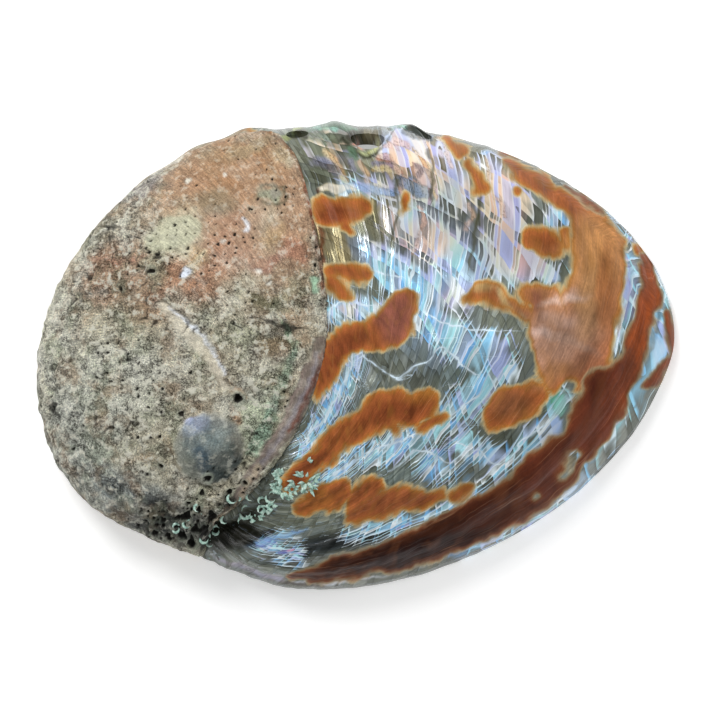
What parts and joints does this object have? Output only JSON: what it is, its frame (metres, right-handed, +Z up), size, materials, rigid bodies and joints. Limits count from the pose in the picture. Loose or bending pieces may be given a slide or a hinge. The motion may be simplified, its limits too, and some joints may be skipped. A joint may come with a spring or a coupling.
{
  "type": "abalone shell",
  "caption": "Ear-shaped domed abalone shell, hollow beneath, with a low spire, a row of breathing holes, and bare nacre in front of rough old crust; it rests on its margin.",
  "frame": {"origin": "middle of the shell's plan box, on the surface that its margin rests on", "axes": "+X to the front, where the lip grew last; +Y to the row of breathing holes; +Z up through the dome"},
  "size_m": [0.1738, 0.1284, 0.0477],
  "materials": {
    "nacre_and_crust": "polished iridescent nacre with rust-brown patches on the last whorl, matt pitted crust over the spire"
  },
  "bodies": {
    "root": {"shell": "nacre_and_crust"}
  },
  "joints": []
}
